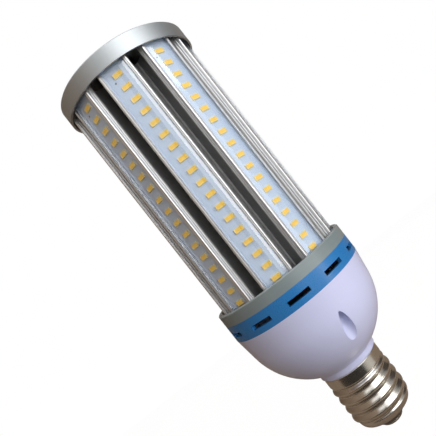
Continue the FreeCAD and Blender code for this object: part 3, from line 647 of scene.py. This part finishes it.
def package_rings():
    """One LED package about the middle of its foot, facing -Y: rings of eight points, half sizes and levels
    by a profile that goes up the side, over the frame and down to the gel, and a pole in the gel."""
    half_x, half_z, height = LED_HALF_X, LED_HALF_Z, LED_HEIGHT
    profile = np.array([
        [half_x, half_z, 0.0],                             # foot
        [half_x - 0.03, half_z - 0.03, 0.78 * height],     # shoulder
        [half_x - 0.12, half_z - 0.12, height],            # edge of the top
        [half_x - 0.50, half_z - 0.36, height],            # rim of the cup
        [half_x - 0.62, half_z - 0.48, 0.86 * height],     # edge of the gel
        [0.5 * half_x, 0.4 * half_z, 0.90 * height],       # crown of the gel
    ])
    bands = [FRAME, FRAME, FRAME, FRAME, GEL]
    inset_x = LED_CORNER * np.array([0, 0, 1, 1, 0, 0, 1, 1])
    inset_z = LED_CORNER * np.array([1, 1, 0, 0, 1, 1, 0, 0])
    sign_x = np.array([1, 1, 1, -1, -1, -1, -1, 1])
    sign_z = np.array([-1, 1, 1, 1, 1, -1, -1, -1])
    x = sign_x * (profile[:, :1] - inset_x)
    y = -np.repeat(profile[:, 2:], LED_SIDES, 1)
    z = sign_z * (profile[:, 1:2] - inset_z)
    points = np.concatenate([np.stack([x, y, z], -1).reshape(-1, 3), [[0.0, -0.91 * height, 0.0]]])
    rings = len(profile)
    faces = ring_faces(rings, LED_SIDES) + end_fan(rings - 1, LED_SIDES, rings * LED_SIDES)
    faces.append(list(range(LED_SIDES))[::-1])
    kinds = np.repeat(bands, LED_SIDES).tolist() + [GEL] * LED_SIDES + [FRAME]
    return points, faces, kinds


def solder_fillets(start):
    """Two wedges of solder, at both ends of a package, whose points are numbered from start."""
    wide, tall = SOLDER_HALF_WIDTH, SOLDER_RISE
    near, far = LED_HALF_X, LED_HALF_X + SOLDER_REACH
    wedge = np.array([
        [near, 0, -wide], [near, 0, wide], [near, -tall, wide], [near, -tall, -wide],
        [far, 0, -wide], [far, 0, wide],
    ])
    right = [[0, 1, 2, 3], [4, 3, 2, 5], [0, 4, 5, 1], [0, 3, 4], [1, 5, 2]]
    left = [[i + len(wedge) for i in f] for f in turned_round(right)]
    points = np.concatenate([wedge, wedge * (-1.0, 1.0, 1.0)])
    return points, [[start + i for i in f] for f in right + left]


def make_packages(panel, materials):
    """LED packages of one panel: one package with its solder, repeated along the board at the LEDs' pitch and
    turned round the axis to the panel."""
    body, faces, kinds = package_rings()
    fillets, wedges = solder_fillets(len(body))
    single = np.concatenate([body, fillets])
    kinds = kinds + [SOLDER] * len(wedges)
    spots = np.zeros((LED_COUNT, 3))
    spots[:, 1] = LED_FOOT
    spots[:, 2] = FIRST_LED + LED_PITCH * np.arange(LED_COUNT)
    points = (single[None] + spots[:, None]).reshape(-1, 3)
    c, s = math.cos(PANEL_STEP * panel), math.sin(PANEL_STEP * panel)
    turn = np.array([[c, -s, 0], [s, c, 0], [0, 0, 1]])
    many = repeated(faces + wedges, len(single), LED_COUNT)
    name = "led_packages_%d" % (panel + 1)
    return surface_mesh(name, points @ turn.T, many, materials, kinds * LED_COUNT, True)


nickel_plate = nickel()
zinc_plate = grained("zinc_plate", 1.5, 3.0, (0.50, 0.50, 0.51), (0.68, 0.68, 0.68), 0.24, 0.15, 1.0)
package_finishes = [
    grained("package_frame", 6.0, 2.0, (0.97, 0.74, 0.30), (1.0, 0.84, 0.44), 0.42, 0.10),
    phosphor(),
    grained("solder", 4.0, 2.0, (0.62, 0.63, 0.64), (0.80, 0.80, 0.80), 0.22, 0.2, 1.0),
]

pieces = [
    (make_screw_shell(nickel_plate), "screw_shell", "nickel"),
    (make_contact(nickel_plate), "centre_contact", "contact_metal"),
]
for name, node, sunk, up in SCREW_GROUPS:
    pieces.append((make_screws(name, node, sunk, up, zinc_plate), node, "screw_steel"))
for panel in range(PANEL_COUNT):
    pieces.append((make_packages(panel, package_finishes), "led_chips_%d" % (panel + 1), "led_package"))
for piece, node, slot in pieces:
    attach(piece, "root")
    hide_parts(node)

finishes = {
    "heat_sink": extruded_aluminium(),
    "top_cap": turned_aluminium(),
    "lower_ring": grey_paint(),
    "vent_ring": moulded("blue_plastic", (0.026, 0.19, 0.48), (0.020, 0.16, 0.42), 0.22, 0.0, 0.4),
    "base_housing": moulded("white_plastic", (0.63, 0.655, 0.90), (0.59, 0.615, 0.85), 0.26, 0.2),
    "cap_insulator": moulded("black_glass", (0.012, 0.012, 0.014), (0.022, 0.02, 0.02), 0.12, 0.4),
    "ring_screws": zinc_plate,
    "driver_board": moulded("green_mask", (0.02, 0.12, 0.05), (0.015, 0.09, 0.04), 0.35, 0.2),
    "transformer_core": moulded("ferrite", (0.02, 0.02, 0.022), (0.03, 0.03, 0.03), 0.5, 0.0),
    "transformer_winding": moulded("yellow_tape", (0.70, 0.45, 0.03), (0.62, 0.38, 0.02), 0.4, 0.1),
    "input_capacitor": moulded("dark_sleeve", (0.012, 0.016, 0.05), (0.01, 0.012, 0.035), 0.28, 0.3),
    "line_choke": moulded("green_coat", (0.02, 0.09, 0.055), (0.015, 0.07, 0.04), 0.4, 0.1),
    "bridge_rectifier": moulded("black_epoxy", (0.012, 0.012, 0.012), (0.02, 0.02, 0.02), 0.45, 0.0),
    "live_lead": moulded("red_insulation", (0.42, 0.012, 0.01), (0.36, 0.01, 0.008), 0.4, 0.1),
    "neutral_lead": moulded("black_insulation", (0.01, 0.01, 0.01), (0.016, 0.016, 0.016), 0.4, 0.1),
    "link_wires": moulded("white_insulation", (0.75, 0.75, 0.72), (0.68, 0.68, 0.65), 0.4, 0.1),
}
finishes["output_capacitor"] = finishes["input_capacitor"]
finishes["led_lead_positive"] = finishes["live_lead"]
finishes["led_lead_negative"] = finishes["neutral_lead"]
mask, cover = board_white(), clear_cover()
for panel in range(1, PANEL_COUNT + 1):
    finishes["led_board_%d" % panel] = mask
    finishes["light_cover_%d" % panel] = cover
for node, material in finishes.items():
    for slot in NODES[node].material_slots:
        slot.material = material


def floor_paper():
    """Pale paper that reads as white to the eye, in mirrors and through glass, and still takes a soft
    shadow."""
    f = Finish("floor_paper")
    paper = f.node("ShaderNodeBsdfDiffuse", None, {"Color": (0.86, 0.86, 0.86)})[0]
    white = f.node("ShaderNodeEmission", None, {"Color": (1.0, 1.0, 1.0), "Strength": FLOOR_WHITE})[0]
    share = f.seen() * FLOOR_WHITE_SHARE
    return f.show(f.node("ShaderNodeMixShader", None, [share, paper, white])[0])


def card(name, colour, shine):
    """Matt studio card, a little cloudy."""
    f = Finish(name)
    cloud = f.noise(f.place(), 0.004, 2.0)
    shade = tuple(0.8 * c for c in colour)
    return f.surface({
        "Base Color": f.colour(cloud, shade, colour),
        "Roughness": 0.9,
        "Specular IOR Level": shine,
    })


def stage_plane(name, corners, material, seen, shades):
    """Flat sheet of the studio, from four corners in metres."""
    mesh = bpy.data.meshes.new(name)
    mesh.from_pydata(corners, [], [(0, 1, 2, 3)])
    mesh.materials.append(material)
    plane = bpy.data.objects.new(name, mesh)
    bpy.context.scene.collection.objects.link(plane)
    plane.visible_camera = seen
    plane.visible_shadow = shades


def sheet(name, x, y, z, material, seen=False):
    """Level sheet between two values of x and of y. One that the camera doesn't see throws no shadow."""
    corners = [(x[0], y[0], z), (x[1], y[0], z), (x[1], y[1], z), (x[0], y[1], z)]
    stage_plane(name, corners, material, seen, seen)


def wall(name, start, end, material):
    """Upright card between two points of the floor, out of the camera's sight."""
    corners = [(*start, 0.0), (*end, 0.0), (*end, CARD_HEIGHT), (*start, CARD_HEIGHT)]
    stage_plane(name, corners, material, False, True)


def soft_lamp(name, spot, width, height, power, facing, missed_by):
    """Area lamp that faces a height on the axis. One kind of rays may miss it."""
    light = bpy.data.lights.new(name, "AREA")
    light.shape = "RECTANGLE"
    light.size, light.size_y = width, height
    light.energy = power
    holder = bpy.data.objects.new(name, light)
    bpy.context.scene.collection.objects.link(holder)
    holder.location = spot
    aim = Vector((0.0, 0.0, facing)) - Vector(spot)
    holder.rotation_euler = aim.to_track_quat("-Z", "Y").to_euler()
    holder.visible_camera = False
    if missed_by:
        setattr(holder, missed_by, False)


def studio():
    """White surroundings, and lamps: a tall one at the front right, weak ones at the side and above, a fill
    from the front and one from low down, a small glint for the rings, a corner lamp that only metal shows,
    and one behind. Out of sight, a table and warm cards stand all round, for the metal to mirror."""
    world = bpy.data.worlds.new("studio")
    bpy.context.scene.world = world
    f = Finish("studio", world)
    strength = WORLD_LIGHT + f.seen() * (1.0 - WORLD_LIGHT)
    white = f.node("ShaderNodeBackground", None, {"Color": (1.0, 1.0, 1.0), "Strength": strength})[0]
    f.node("ShaderNodeOutputWorld", None, [white])

    for lamp in LAMPS:
        soft_lamp(*lamp)

    whole = (-FLOOR_HALF, FLOOR_HALF)
    sheet("floor", whole, whole, FLOOR_Z, floor_paper(), True)
    cards = {name: card(name, *look) for name, look in CARDS.items()}
    for name, x, y, z, kind in TABLES:
        sheet(name, x, y, z, cards[kind])
    for name, start, end, kind in WALLS:
        wall(name, start, end, cards[kind])


def camera():
    """Camera near the lamp, level with its middle and rolled, so that the head leans to the upper left."""
    x, y = CAMERA_AHEAD
    ahead = Vector((x, y, 0.0)).normalized()
    level = Vector((y, -x, 0.0)).normalized()
    lean = math.radians(CAMERA_LEAN)
    up = (math.sin(lean) * level + math.cos(lean) * Vector((0, 0, 1))).normalized()
    right = ahead.cross(up)
    basis = Matrix((right, up, -ahead)).transposed()
    lens = bpy.data.cameras.new("camera")
    lens.sensor_width = SENSOR_MM
    lens.lens = SENSOR_MM * FOCAL_POINTS / PICTURE_SIZE
    lens.shift_x = 0.5 - CENTRE_X / PICTURE_SIZE
    lens.shift_y = CENTRE_Y / PICTURE_SIZE - 0.5
    lens.clip_start = 0.005
    eye = bpy.data.objects.new("camera", lens)
    bpy.context.scene.collection.objects.link(eye)
    eye.matrix_world = Matrix.Translation(CAMERA_SPOT) @ basis.to_4x4()
    bpy.context.scene.camera = eye


studio()
camera()
bpy.context.scene.view_settings.view_transform = "Standard"
